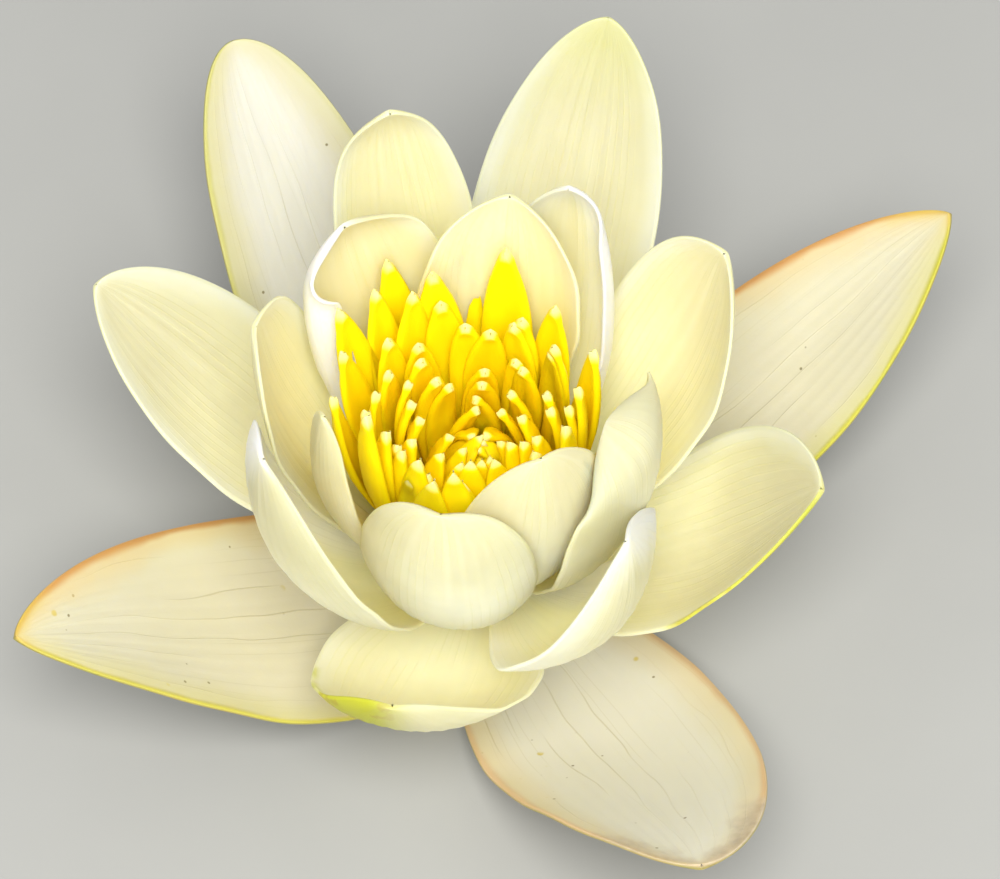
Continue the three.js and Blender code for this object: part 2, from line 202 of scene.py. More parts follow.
# A stamen's thickness, as shares of its full one: its margins, and what its midrib, the two anther
# ridges on either face and the knob at its tip add. at and width are shares of the half width, or
# of the length for the knob, and the ridges start and end at shares of the length.
STAMEN_MARGIN, STAMEN_MIDRIB = 0.55, 0.35
ANTHERS = dict(adds=0.5, at=0.5, width=0.3, start=0.35, comes_in=0.2, end=0.93, fades_out=0.1)
TIP_KNOB = dict(adds=0.5, at=0.96, width=0.03)

CAMERA_ELEVATION = 57  # degrees
CAMERA_DISTANCE = 520  # millimetres from the point that it looks at
CAMERA_TARGET = (2.4, 0, 29)
PIXELS_PER_MM = 9.3  # scale of the picture at that point
PICTURE_WIDTH = 1000
SENSOR_WIDTH = 36
CAMERA_CLIP = 10  # nearest distance that the camera sees

# The soft round lights: where they stand, from the middle of the floor, their width and color.
KEY_LIGHT = dict(place=(10, -320, 610), width=400, color=(1.0, 0.99, 0.96))
FILL_LIGHT = dict(place=(100, -550, 250), width=500, color=(1.0, 0.99, 0.97))
LIT_HEIGHT = 25  # the lights point at this height over the middle of the floor
SKY_COLOR = (0.98, 0.99, 1.0)
FLOOR_DARKER = 0.96  # the darker patches of the floor, as a share of its color
FLOOR_ROUGHNESS = 0.9

# ---- looks ---------------------------------------------------------------------------------

# The main colors are settings. These are the shades of the small marks over them.
PETAL_VEIN = (0.66, 0.64, 0.20)
PETAL_EDGE = (0.78, 0.76, 0.26)
PETAL_TINGE = (0.46, 0.455, 0.20)
# Painted highlight along a folded margin.
FOLD_HIGHLIGHT = (0.93, 0.92, 0.82)
GREEN_SPOT = (0.33, 0.27, 0.01)
SEPAL_PALE = (0.60, 0.57, 0.43)
SEPAL_FOOT = (0.56, 0.48, 0.355)
# Painted shade that darkens the tips of the sepals.
SEPAL_TIP_SHADE = (0.49, 0.465, 0.345)
# Whiter middle of some sepals: partly their own paler colour, partly painted light that lifts a sepal
# in shade.
SEPAL_WHITE_AND_LIFT = (0.60, 0.59, 0.53)
SEPAL_BACK_BROWN = (0.32, 0.24, 0.09)
OLIVE_GLOW = (0.56, 0.53, 0.22)
BLUSH_GLOW = (0.57, 0.43, 0.23)
TIP_OCHRE = (0.50, 0.38, 0.06)
BRUISE_PALE = (0.44, 0.37, 0.27)
DISC_DEEP = (1.0, 0.68, 0.01)
STALK_OCHRE = (0.52, 0.50, 0.18)

# Specks of the sepals, dark and brown: how fine their cells are, how far up the noise of the
# patches stays clear of them, how large they are in their cells and their shade.
SPECKS = (dict(scale=430.0, clear=0.54, size=0.1, shade=(0.14, 0.11, 0.03)),
          dict(scale=260.0, clear=0.60, size=0.13, shade=(0.48, 0.38, 0.04)))
SPECK_PATCHES = 95.0  # how fine the patches are that have specks
SPECK_EDGE = 0.03  # how far up the noise the edge of such a patch reaches

# Where along a blade a look comes in: the shares of its length at which it is nil and full.
# The foot of a petal's inside: the inner petals' deeper yellow throat, and on the outer and middle
# petals a far paler colour, painted light that lifts their shaded foot.
THROAT_AND_LIFT = (0.82, 0.15)
# The foot of a petal's outside is paler: painted light that lifts its shade low down.
BACK_FOOT_LIFT = (0.92, 0.4)
TINGED_TIP = (0.72, 1.0)
PATCHED_TIP = (0.6, 0.74)
SEPAL_LOW = (0.8, 0.2)
# SEPAL_HIGH: where the painted shade of a sepal's tip comes in.
SEPAL_HIGH = (0.4, 0.9)
OCHRE_TIP = (0.86, 0.99)
BRUISED_TIP = (0.84, 0.93)
STAMEN_FOOT = (0.55, 0.1)
STAMEN_PALE_END = 0.985  # from here on the tip of a stamen is pale
SEPAL_VEINED = (0.9, 0.4)  # between these the veins of a sepal go from faint to clear
VEINS_SHOWN = (0.12, 0.75)  # how much they show there
INLAND = (1.0, 6.0)  # distances from the margin over which the white middle comes in
PATCH_UNEVEN, BRUISE_UNEVEN = 2.4, 0.05  # how uneven the ends of a green patch and a bruise are
SPOTTED = (0.6, 0.8)  # values of the mottle over which a brown spot comes in

# The patterns: nearly all of a noise lies within its span. Veins wander and break up by noises
# of a fineness across and along the blade. A margin band is uneven by shares of its width, and its
# inner edge fades over shares of it.
NOISE_SPAN = (0.3, 0.7)
VEIN_WANDER = dict(across=1.2, along=3.0)
VEIN_BREAKS = dict(across=3.0, along=2.6)
VEIN_STRAY = 1.1  # how far the veins wander, in gaps between two veins
VEIN_BROKEN = (0.42, 0.62)  # values of the noise between which a vein comes in
VEIN_BREAK_SHIFT = 7.3  # keeps the breaks apart from the wandering
STREAK_SHIFT = 4.0  # keeps the streaks of a petal apart from its veins
BAND_UNEVEN = (0.7, 1.3)
BAND_FADE = (1.0, 0.1)
SCATTER = (1.0, 0.85, 0.5)  # how deep red, green and blue light sinks in, as shares of the depth
SKIN_IOR = 1.4
GRAIN_SCALE, GRAIN_SHARE, GRAIN_DEPTH = 2600.0, 0.25, 0.08  # grain of the skin, beside its veins
CUT_FACE = (0.25, 0.1)  # heights between which the skin of the stalk gives way to its pith

# Sockets that share their name with others, by their place in the node: those of a Mix node
# for colors, and those of a Random Value node for plain numbers.
MIX_SHARE, MIX_FIRST, MIX_SECOND, MIX_RESULT = 0, 6, 7, 2
RANDOM_LOW, RANDOM_HIGH, RANDOM_RESULT = 2, 3, 1

RING_NODES = "Ring of stamens"
RING_INPUTS = {"Geometry": "Geometry", "Count": "Int", "Radius": "Float", "Height": "Float",
               "First": "Float", "Fills": "Float", "Lean": "Float", "Turn": "Float",
               "Size Spread": "Float", "Seed": "Int", "Material": "Material"}


# ---- settings ------------------------------------------------------------------------------

def color_setting(name, text, value):
    return bpy.props.FloatVectorProperty(
        name=name, description=text, default=value, size=3, subtype="COLOR", min=0, max=1)


def length_setting(name, text, millimetres):
    return bpy.props.FloatProperty(
        name=name, description=text, default=millimetres * MM, unit="LENGTH", precision=5)


class LilyPetalSettings(bpy.types.PropertyGroup):
    """Sizes and colors of the sepals and petals."""

    rows: bpy.props.IntProperty(
        name="Rows", description="Rows of faces along a petal", default=72, min=8)
    columns: bpy.props.IntProperty(
        name="Columns", description="Rows of faces across a petal", default=40, min=4)
    rib_height: length_setting("Rib height", "How far the long ribs stand out of a petal", 0.05)
    ripple: length_setting("Ripple", "How far a petal strays from its smooth form", 0.28)
    margin: length_setting("Margin", "Thickness of a petal at its margin", 0.3)
    sepal_color: color_setting("Sepal", "Inside of the sepals", (0.58, 0.55, 0.39))
    sepal_back_color: color_setting("Sepal back", "Outside of the sepals", (0.20, 0.22, 0.06))
    vein_color: color_setting("Veins", "Long veins of the sepals", (0.38, 0.33, 0.16))
    blush_color: color_setting("Blush", "Sunlit margins of the sepals", (0.46, 0.21, 0.07))
    olive_color: color_setting("Olive", "Green margins of the sepals", (0.38, 0.36, 0.01))
    bruise_color: color_setting("Bruise", "Worn tip of the front sepal", (0.33, 0.28, 0.21))
    leaf_green: color_setting("Leaf green", "Green patches on the outer petals",
                              (0.39, 0.41, 0.012))
    # The middle and inner petals are paler and yellower inside than the outer ones: partly their own
    # colour, partly painted light that lifts them in the shade of the cup.
    outer_color: color_setting("Outer petals", "Inside of the outer petals", (0.53, 0.50, 0.335))
    middle_color: color_setting("Middle petals", "Inside of the middle petals",
                                (0.67, 0.615, 0.385))
    inner_color: color_setting("Inner petals", "Inside of the inner petals", (0.90, 0.82, 0.48))
    # Painted light: the foot colours of the outer and middle petals are far paler than their insides,
    # to lift the shade low in the cup. The throat colour is the inner petals' own deeper yellow.
    outer_foot_lift_color: color_setting("Outer foot", "Outer petals near their foot",
                                   (0.91, 0.84, 0.55))
    middle_foot_lift_color: color_setting("Middle foot", "Middle petals near their foot",
                                    (0.98, 0.90, 0.55))
    inner_low_color: color_setting("Throat", "Inner petals near their foot", (0.98, 0.82, 0.20))
    # Painted highlight: the pale sheen along the rims of the petals' insides. The pale streaks take
    # this colour too.
    rim_color: color_setting("Rim", "Thin bright margins of the petals", (0.77, 0.755, 0.62))
    back_color: color_setting("Petal back", "Outside of the petals", (0.55, 0.53, 0.34))
    # Painted light: the backs of the petals are paler at their foot, where they lie in shade.
    back_foot_lift_color: color_setting("Back foot", "Outside of the petals near their foot",
                                  (0.98, 0.94, 0.65))


class LilyStamenSettings(bpy.types.PropertyGroup):
    """Sizes and colors of the stamens and the stigma disc."""

    rows: bpy.props.IntProperty(
        name="Rows", description="Rows of faces along a stamen", default=22, min=4)
    columns: bpy.props.IntProperty(
        name="Columns", description="Rows of faces across a stamen", default=6, min=2)
    lean_spread: bpy.props.FloatProperty(
        name="Lean", description="How unevenly the stamens lean", default=math.radians(4),
        subtype="ANGLE")
    turn_spread: bpy.props.FloatProperty(
        name="Turn", description="How unevenly the stamens stand round the ring",
        default=math.radians(3.5), subtype="ANGLE")
    size_spread: bpy.props.FloatProperty(
        name="Size spread", description="How much the lengths of the stamens differ",
        default=0.05, min=0, max=0.5)
    seed: bpy.props.IntProperty(name="Seed", description="Seed of the unevenness", default=4)
    foot_color: color_setting("Foot", "Stamens near their foot", (1.0, 0.65, 0.001))
    gold_color: color_setting("Gold", "Blades of the stamens", (1.0, 0.77, 0.002))
    deep_gold_color: color_setting("Deep gold", "The deeper colored stamens",
                                   (1.0, 0.70, 0.001))
    tip_color: color_setting("Tip", "Tips of the stamens", (1.0, 0.93, 0.34))
    disc_color: color_setting("Disc", "Stigma disc", (1.0, 0.76, 0.03))


class LilyStageSettings(bpy.types.PropertyGroup):
    """Receptacle, floor and lights."""

    stalk_color: color_setting("Stalk", "Skin of the receptacle", (0.42, 0.46, 0.12))
    pith_color: color_setting("Pith", "Cut face of the stalk", (0.62, 0.64, 0.36))
    floor_color: color_setting("Floor", "Pale floor under the bloom", (0.33, 0.33, 0.315))
    floor_width: length_setting("Floor width", "Side of the floor", 6000)
    key_power: bpy.props.FloatProperty(
        name="Key light", description="Power of the large soft light", default=5.6,
        unit="POWER")
    fill_power: bpy.props.FloatProperty(
        name="Fill light", description="Power of the light from the front", default=1.4,
        unit="POWER")
    sky: bpy.props.FloatProperty(
        name="Sky", description="Strength of the even light from all round", default=0.72)


# ---- the form of a blade -------------------------------------------------------------------

def through_three(values, t):
    """The parabola through the three values at 0, one half and 1."""
    a, b, c = values
    return a * (1 - t) * (1 - 2 * t) + 4 * b * t * (1 - t) + c * t * (2 * t - 1)


def smoothstep(x):
    y = np.clip(x, 0, 1)
    return y * y * (3 - 2 * y)


def width_share(blade, t):
    """Share of the full width at t along the blade."""
    below = np.clip(1 - t / blade["widest"], 0, 1) ** blade["base_power"]
    above = np.clip((t - blade["widest"]) / (1 - blade["widest"]), 0, 1) ** blade["tip_power"]
    low = blade["claw"] + (1 - blade["claw"]) * (1 - below)
    high = np.clip(1 - above, 0, 1) ** blade["tip_round"]
    return np.where(t < blade["widest"], low, high)


def around(radius, angle, height):
    """Points at a radius from the axis, an angle round it and a height."""
    radius, angle, height = np.broadcast_arrays(radius, angle, height)
    return np.stack([radius * np.cos(angle), radius * np.sin(angle), height], axis=-1)


def midrib(blade, t):
    """Places, slopes and headings of the midrib at the shares t of its length."""
    steps = np.linspace(0, 1, PROFILE_STEPS + 1)
    nod = blade.get("hood", 0) * smoothstep((steps - 1 + HOOD_SHARE) / HOOD_SHARE)
    slope = np.radians(through_three(blade["rise"], steps) + nod)
    heading = np.radians(blade["at"] + blade.get("turn", 0) * steps ** TURN_POWER)
    along = around(np.cos(slope), heading, np.sin(slope))
    strides = (along[1:] + along[:-1]) / 2 * blade["length"] / PROFILE_STEPS
    foot = around(blade["foot"][0], np.radians(blade["at"]), blade["foot"][1])
    places = foot + np.vstack([np.zeros(3), np.cumsum(strides, axis=0)])
    at_rows = [np.interp(t, steps, places[:, axis]) for axis in range(3)]
    return np.stack(at_rows, axis=-1), np.interp(t, steps, slope), np.interp(t, steps, heading)


def section(blade, t, v):
    """Sideways and inward offsets and surface angles, for each row t and column v."""
    wrap = np.radians(through_three(blade["cup"], t))[:, None] / 2
    start, end = blade.get("curl_span", CURL_SPAN)
    fade = smoothstep((t - start) / CURL_COMES_IN) * smoothstep((end - t) / CURL_FADES_OUT)
    clockwise, counter = np.radians(blade.get("curl", (0, 0)))

    def angle(share):
        edge = smoothstep((np.abs(share) - CURL_START) / CURL_BAND) * fade[:, None]
        return wrap * share + np.where(share > 0, counter, -clockwise) * edge

    step = (blade["width"] / 2 * width_share(blade, t) / SECTION_STEPS)[:, None]
    middles = (np.arange(1, SECTION_STEPS + 1) - 0.5) / SECTION_STEPS
    start_column = np.zeros((len(t), 1))
    sideways, inward = [], []
    for side in (-1, 1):
        turned = angle(side * middles[None, :])
        sideways.append(np.hstack([start_column, side * np.cumsum(step * np.cos(turned), 1)]))
        inward.append(np.hstack([start_column, side * np.cumsum(step * np.sin(turned), 1)]))
    fine = np.linspace(-1, 1, 2 * SECTION_STEPS + 1)
    x_fine = np.hstack([sideways[0][:, :0:-1], sideways[1]])
    y_fine = np.hstack([inward[0][:, :0:-1], inward[1]])
    x = np.stack([np.interp(v, fine, row) for row in x_fine])
    y = np.stack([np.interp(v, fine, row) for row in y_fine])
    return x, y, angle(v[None, :])


def turned_about(vectors, axes, angles):
    """Each vector turned about its unit axis."""
    cosine, sine = np.cos(angles)[:, None], np.sin(angles)[:, None]
    along = (vectors * axes).sum(axis=1, keepdims=True)
    return vectors * cosine + np.cross(axes, vectors) * sine + axes * along * (1 - cosine)


def blade_surface(blade, rows, columns):
    """The middle surface of a blade and its inward normals, as grids, with t and v."""
    parts = np.arange(rows + 1) / rows
    parts[-1] = (rows - 1 + TIP_CUT) / rows
    t = np.sin(parts * math.pi / 2)
    v = np.linspace(-1, 1, columns + 1)
    places, slope, heading = midrib(blade, t)
    sideways = around(np.ones_like(t), heading + math.pi / 2, 0 * t)
    inward = around(-np.sin(slope), heading, np.cos(slope))
    along = np.cross(sideways, inward)
    first, last = np.radians(blade.get("twist", (0, 0)))
    roll = first + (last - first) * t
    sideways = turned_about(sideways, along, -roll)
    inward = turned_about(inward, along, -roll)
    x, y, angle = section(blade, t, v)
    middle = places[:, None] + x[..., None] * sideways[:, None] + y[..., None] * inward[:, None]
    normal = np.cos(angle)[..., None] * inward[:, None] - np.sin(angle)[..., None] * sideways[:, None]
    return middle, normal, t, v


def bell(x, middle, width):
    """A smooth hump of height 1 about its middle."""
    return np.exp(-((x - middle) / width) ** 2)


def strayed(blade, t, v, seed, ripple, rib_height):
    """How far a grown blade stands off its smooth form: long ribs, soft swells, a wavy margin."""
    draw = random.Random(seed)
    t, v = t[:, None], v[None, :]
    phases = [draw.uniform(0, 2 * math.pi) for _ in range(5)]
    form = (SWELL["share"] * np.sin(SWELL["along"] * math.pi * t + phases[0])
            * np.cos(SWELL["across"] * math.pi * v + phases[1]))
    for wave, phase in zip(MARGIN_WAVES, phases[2:4]):
        height = wave["share"] * np.sin(wave["along"] * math.pi * t + phase + wave["lean"] * v)
        form = form + height * np.abs(v) ** wave["power"]
    drift = RIB_DRIFT * np.sin(RIB_BEND * t + phases[4])
    ribs = np.cos(RIBS * math.pi * v + drift) * (1 - v ** 2)
    groove = -GROOVE_DEPTH * bell(v, 0, GROOVE_WIDTH)
    fade = smoothstep(t / EVEN_FOOT) * smoothstep((1 - t) / EVEN_TIP)
    return fade * (ripple * form * width_share(blade, t) + rib_height * (ribs + groove))


# ---- meshes --------------------------------------------------------------------------------

def closed_sheet(front, back, rim):
    """Points and faces of two grids joined round their edge by a rounded rim."""
    rows, columns = front.shape[0] - 1, front.shape[1] - 1
    edge = ([(0, j) for j in range(columns)] + [(i, columns) for i in range(rows)]
            + [(rows, j) for j in range(columns, 0, -1)] + [(i, 0) for i in range(rows, 0, -1)])
    behind = front.shape[0] * front.shape[1]

    def place(i, j):
        return i * (columns + 1) + j

    faces = []
    for i in range(rows):
        for j in range(columns):
            a, b, c, d = place(i, j), place(i, j + 1), place(i + 1, j + 1), place(i + 1, j)
            faces.append((a, d, c, b))
            faces.append((a + behind, b + behind, c + behind, d + behind))
    for k, (i, j) in enumerate(edge):
        a, b = place(i, j), place(*edge[(k + 1) % len(edge)])
        first, second = 2 * behind + k, 2 * behind + (k + 1) % len(edge)
        faces.append((a, b, second, first))
        faces.append((first, second, b + behind, a + behind))
    rim_points = np.array([rim[i, j] for i, j in edge])
    points = np.vstack([front.reshape(-1, 3), back.reshape(-1, 3), rim_points])
    return points, faces, edge


def blade_mesh(name, blade, rows, columns, offset, half_thickness):
    """A blade as one closed mesh in millimetres, with what its materials read."""
    middle, normal, t, v = blade_surface(blade, rows, columns)
    middle = middle + normal * offset(t, v)[..., None]
    half = half_thickness(t, v)[..., None]
    front, back = middle + normal * half, middle - normal * half
    points, faces, edge = closed_sheet(front, back, middle)
    t_grid, v_grid = np.meshgrid(t, v, indexing="ij")
    half_width = blade["width"] / 2 * width_share(blade, t_grid)
    to_margin = half_width * (1 - np.abs(v_grid))

    def spread(grid, on_front=0.0, on_back=0.0):
        rim = np.array([grid[i, j] for i, j in edge]) + (on_front + on_back) / 2
        return np.concatenate([grid.ravel() + on_front, grid.ravel() + on_back, rim])

    counter_clockwise = smoothstep(0.5 + v_grid * half_width / TRAIT_BLEND)
    values = {
        "along": spread(t_grid),
        "across": spread(v_grid),
        "to_margin": spread(to_margin),
        "outside": spread(0 * t_grid, 0.0, 1.0),
    }
    for trait in HALF_TRAITS:
        first, second = blade.get(trait, (0, 0))
        values[trait] = spread(first + (second - first) * counter_clockwise)
    for trait in WHOLE_TRAITS:
        values[trait] = spread(np.full_like(t_grid, blade.get(trait, 0)))
    return mesh_from(name, points, faces, values)


def mesh_from(name, points, faces, values):
    """A smooth mesh at its place in the bloom, with named values on its points."""
    mesh = bpy.data.meshes.new(name)
    mesh.from_pydata([tuple(point) for point in points], [], faces)
    for label, numbers in values.items():
        mesh.attributes.new(label, "FLOAT", "POINT").data.foreach_set("value", numbers)
    mesh.polygons.foreach_set("use_smooth", [True] * len(mesh.polygons))
    mesh.update()
    return mesh


def settle(mesh):
    """Takes a mesh from the flower's own millimetres to its place in the frame."""
    mesh.transform(Matrix.Translation(AXIS_FOOT) @ Matrix.Scale(MM, 4))
    mesh.update()


def add_object(name, mesh, material):
    piece = bpy.data.objects.new(name, mesh)
    bpy.context.scene.collection.objects.link(piece)
    mesh.materials.append(material)
    return piece


def stand_for(piece, node):
    """The piece rides on the body and stands for a solid of the frame."""
    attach(piece, BODY)
    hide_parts(node)


# ---- nodes ---------------------------------------------------------------------------------

def add_node(tree, kind, inputs=None, **settings):
    """A node with its settings, and its inputs set to values or joined to sockets."""
    made = tree.nodes.new(kind)
    for label, value in settings.items():
        setattr(made, label, value)
    for label, value in (inputs or {}).items():
        if isinstance(value, bpy.types.NodeSocket):
            tree.links.new(value, made.inputs[label])
        else:
            made.inputs[label].default_value = value
    return made


def calc(tree, operation, *numbers):
    inputs = dict(enumerate(numbers))
    return add_node(tree, "ShaderNodeMath", inputs, operation=operation).outputs[0]


def overlap(tree, *masks):
    """The product of the masks, which is full only where all of them are."""
    product, *others = masks
    for mask in others:
        product = calc(tree, "MULTIPLY", product, mask)
    return product


def between(tree, value, low, high, to_low=0.0, to_high=1.0):
    """A smooth step from to_low at low to to_high at high."""
    inputs = {"Value": value, "From Min": low, "From Max": high, "To Min": to_low,
              "To Max": to_high}
    step = add_node(tree, "ShaderNodeMapRange", inputs, interpolation_type="SMOOTHSTEP")
    return step.outputs["Result"]


def opaque(color):
    """A color as a socket takes it, or the socket that it comes from."""
    return color if isinstance(color, bpy.types.NodeSocket) else (*color, 1)


def blend_colors(tree, share, first, second):
    """The first color where share is 0, the second where it is 1."""
    inputs = {MIX_SHARE: share, MIX_FIRST: opaque(first), MIX_SECOND: opaque(second)}
    return add_node(tree, "ShaderNodeMix", inputs, data_type="RGBA").outputs[MIX_RESULT]


def tint(tree, color, mask, shade, strength):
    """The color with a shade laid over it where the mask is."""
    return blend_colors(tree, overlap(tree, mask, strength), color, shade)


def noise(tree, place, scale, detail, **more):
    inputs = {"Vector": place, "Scale": scale, "Detail": detail, **more}
    return add_node(tree, "ShaderNodeTexNoise", inputs).outputs["Fac"]


def own_value(tree, label):
    """A value stored on the piece's points."""
    return add_node(tree, "ShaderNodeAttribute", attribute_name=label).outputs["Fac"]


def new_group(name, inputs, outputs):
    """A shader node group with number inputs and outputs, and its two end nodes."""
    group = bpy.data.node_groups.new(name, "ShaderNodeTree")
    for label, value in inputs.items():
        kind = "NodeSocketVector" if value is None else "NodeSocketFloat"
        socket = group.interface.new_socket(label, in_out="INPUT", socket_type=kind)
        if value is not None:
            socket.default_value = value
    for label in outputs:
        group.interface.new_socket(label, in_out="OUTPUT", socket_type="NodeSocketFloat")
    return group, group.nodes.new("NodeGroupInput"), group.nodes.new("NodeGroupOutput")


def use_group(tree, name, build, inputs):
    """The first output of the node group of this name, which is built when it is first used."""
    group = bpy.data.node_groups.get(name) or build(name)
    return add_node(tree, "ShaderNodeGroup", inputs, node_tree=group).outputs[0]


def build_mottle(name):
    """Soft uneven patches from Low to High."""
    inputs = {"Place": None, "Scale": 200.0, "Low": 0.0, "High": 1.0}
    group, start, end = new_group(name, inputs, ["Value"])
    out = start.outputs
    low, high = NOISE_SPAN
    step = add_node(group, "ShaderNodeMapRange", {
        "Value": noise(group, out["Place"], out["Scale"], detail=3.0, Roughness=0.55),
        "From Min": low, "From Max": high, "To Min": out["Low"], "To Max": out["High"]})
    group.links.new(step.outputs["Result"], end.inputs["Value"])
    return group


def mottled(tree, place, scale, low=0.0, high=1.0):
    return use_group(tree, "Soft mottle", build_mottle, {
        "Place": place, "Scale": scale, "Low": low, "High": high})


def blade_noise(tree, out, fineness, shift, detail):
    """A noise that lies on the blade as if it were opened out flat."""
    place = add_node(tree, "ShaderNodeCombineXYZ", {
        0: calc(tree, "MULTIPLY", out["Across"], fineness["across"]),
        1: calc(tree, "MULTIPLY", out["Along"], fineness["along"]),
        2: shift})
    return noise(tree, place.outputs[0], scale=1.0, detail=detail)


def build_veins(name):
    """Long wandering veins that run from foot to tip and fade in and out on their way."""
    inputs = {"Across": 0.0, "Along": 0.0, "Count": 7.0, "Width": 0.1, "Shift": 0.0}
    group, start, end = new_group(name, inputs, ["Mask"])
    out = start.outputs
    wander = blade_noise(group, out, VEIN_WANDER, out["Shift"], detail=2.0)
    stray = calc(group, "MULTIPLY", wander, VEIN_STRAY)
    across = calc(group, "MULTIPLY_ADD", out["Across"], out["Count"], stray)
    to_vein = calc(group, "PINGPONG", across, 0.5)
    line = between(group, to_vein, out["Width"], 0.0)
    apart = calc(group, "ADD", out["Shift"], VEIN_BREAK_SHIFT)
    breaks = blade_noise(group, out, VEIN_BREAKS, apart, detail=1.0)
    shown = overlap(group, line, between(group, breaks, *VEIN_BROKEN))
    group.links.new(shown, end.inputs["Mask"])
    return group


def vein_mask(tree, count, width, shift):
    """Veins with count gaps between them on a half blade, each as wide as a share of a gap."""
    return use_group(tree, "Long veins", build_veins, {
        "Across": own_value(tree, "across"), "Along": own_value(tree, "along"), "Count": count,
        "Width": width, "Shift": shift})


def build_margin_band(name):
    """A band along the margin, with a soft and uneven inner edge."""
    inputs = {"Place": None, "To Margin": 1.0, "Width": 1.0, "Scale": 260.0}
    group, start, end = new_group(name, inputs, ["Mask"])
    out = start.outputs
    wobble = noise(group, out["Place"], out["Scale"], detail=2.0)
    uneven = between(group, wobble, *NOISE_SPAN, *BAND_UNEVEN)
    width = calc(group, "MULTIPLY", out["Width"], uneven)
    share = calc(group, "DIVIDE", out["To Margin"], width)
    group.links.new(between(group, share, *BAND_FADE), end.inputs["Mask"])
    return group


def margin_mask(tree, place, width, scale):
    """The band along the margin, of a width in millimetres and an unevenness of a scale."""
    return use_group(tree, "Margin band", build_margin_band, {
        "Place": place, "To Margin": own_value(tree, "to_margin"), "Width": width,
        "Scale": scale})


# ---- materials -----------------------------------------------------------------------------

def new_material(name):
    """A material with its shader, and the place on the piece that its patterns start from."""
    material = bpy.data.materials.new(name)
    material.use_nodes = True
    tree = material.node_tree
    tree.nodes.clear()
    shader = tree.nodes.new("ShaderNodeBsdfPrincipled")
    output = tree.nodes.new("ShaderNodeOutputMaterial")
    tree.links.new(shader.outputs["BSDF"], output.inputs["Surface"])
    place = add_node(tree, "ShaderNodeTexCoord").outputs["Object"]
    return material, tree, shader, place


def soften(shader, weight, depth, roughness, specular=0.4):
    """Light sinks into a petal to a depth in millimetres and shines through it."""
    values = {"Subsurface Weight": weight, "Subsurface Radius": SCATTER,
              "Subsurface Scale": depth * MM, "Roughness": roughness,
              "Specular IOR Level": specular, "IOR": SKIN_IOR}
    for label, value in values.items():
        shader.inputs[label].default_value = value


def roughen(tree, shader, height, strength, depth):
    """Bump of a height, of a depth in millimetres."""
    bump = add_node(tree, "ShaderNodeBump", {
        "Strength": strength, "Distance": depth * MM, "Height": height})
    tree.links.new(bump.outputs["Normal"], shader.inputs["Normal"])


def fine_grain(tree, shader, place, veins, strength):
    """Bump of the skin: the veins and a fine cell grain."""
    grain = noise(tree, place, GRAIN_SCALE, detail=2.0)
    height = calc(tree, "MULTIPLY_ADD", grain, GRAIN_SHARE, veins)
    roughen(tree, shader, height, strength, GRAIN_DEPTH)


def petal_ground(tree, place, height, inside, throat_and_lift, settings):
    """The inside takes its foot colour low down: the deeper yellow throat of the inner petals, and on
    the others painted light that lifts the shaded foot. A painted highlight lightens the rim, and
    painted light makes the outside paler at its foot.
    """
    # Low down the inside takes its foot colour: the inner petals' deeper yellow throat, or on the
    # other petals painted light that lifts their shaded foot.
    color = blend_colors(tree, between(tree, height, *THROAT_AND_LIFT), inside, throat_and_lift)
    # Painted highlight: a pale band along the margin, as if the rim caught a sheen.
    rim = margin_mask(tree, place, width=3.4, scale=90.0)
    color = tint(tree, color, rim, settings.rim_color, strength=0.4)
    # Painted light: the outside is paler at its foot, where it lies in shade.
    back = blend_colors(tree, between(tree, height, *BACK_FOOT_LIFT), settings.back_color,
                        settings.back_foot_lift_color)
    return blend_colors(tree, own_value(tree, "outside"), color, back)


def petal_traits(tree, place, height, color):
    """A thin greenish edge, and what single petals have: a green tip, and a painted highlight along a
    folded margin.
    """
    tinge = overlap(tree, own_value(tree, "tinge"), between(tree, height, *TINGED_TIP))
    color = tint(tree, color, tinge, PETAL_TINGE, strength=0.7)
    edge = margin_mask(tree, place, width=0.5, scale=200.0)
    color = tint(tree, color, edge, PETAL_EDGE, strength=0.35)
    # Painted highlight: a white band along the folded margin of some petals.
    band = overlap(tree, own_value(tree, "band"), margin_mask(tree, place, width=8.0, scale=60.0))
    return tint(tree, color, band, FOLD_HIGHLIGHT, strength=0.9)


def green_patch(tree, place, uneven, color, settings):
    """A brown-spotted green patch near the tip, outside and just round the margin."""
    shown = calc(tree, "MAXIMUM", own_value(tree, "outside"),
                 margin_mask(tree, place, width=1.3, scale=120.0))
    height = calc(tree, "MULTIPLY_ADD", uneven, PATCH_UNEVEN, own_value(tree, "along"))
    patch = overlap(tree, shown, own_value(tree, "patch"), between(tree, height, *PATCHED_TIP))
    spots = between(tree, mottled(tree, place, scale=330.0), *SPOTTED)
    green = tint(tree, settings.leaf_green, spots, GREEN_SPOT, strength=0.7)
    return tint(tree, color, patch, green, strength=0.96)


def petal_material(name, inside, throat_and_lift, settings, shift):
    """Satin petal with soft streaks and veins. The shift keeps the whorls' veins apart."""
    material, tree, shader, place = new_material(name)
    uneven = mottled(tree, place, scale=90.0, low=-0.06, high=0.06)
    height = calc(tree, "ADD", own_value(tree, "along"), uneven)
    color = petal_ground(tree, place, height, inside, throat_and_lift, settings)
    streaks = vein_mask(tree, count=5.0, width=0.4, shift=shift + STREAK_SHIFT)
    color = tint(tree, color, streaks, settings.rim_color, strength=0.10)
    veins = vein_mask(tree, count=12.0, width=0.16, shift=shift)
    color = tint(tree, color, veins, PETAL_VEIN, strength=0.13)
    color = petal_traits(tree, place, height, color)
    color = green_patch(tree, place, uneven, color, settings)
    tree.links.new(color, shader.inputs["Base Color"])
    soften(shader, weight=0.9, depth=3.0, roughness=0.45)
    fine_grain(tree, shader, place, veins, strength=0.35)
    return material


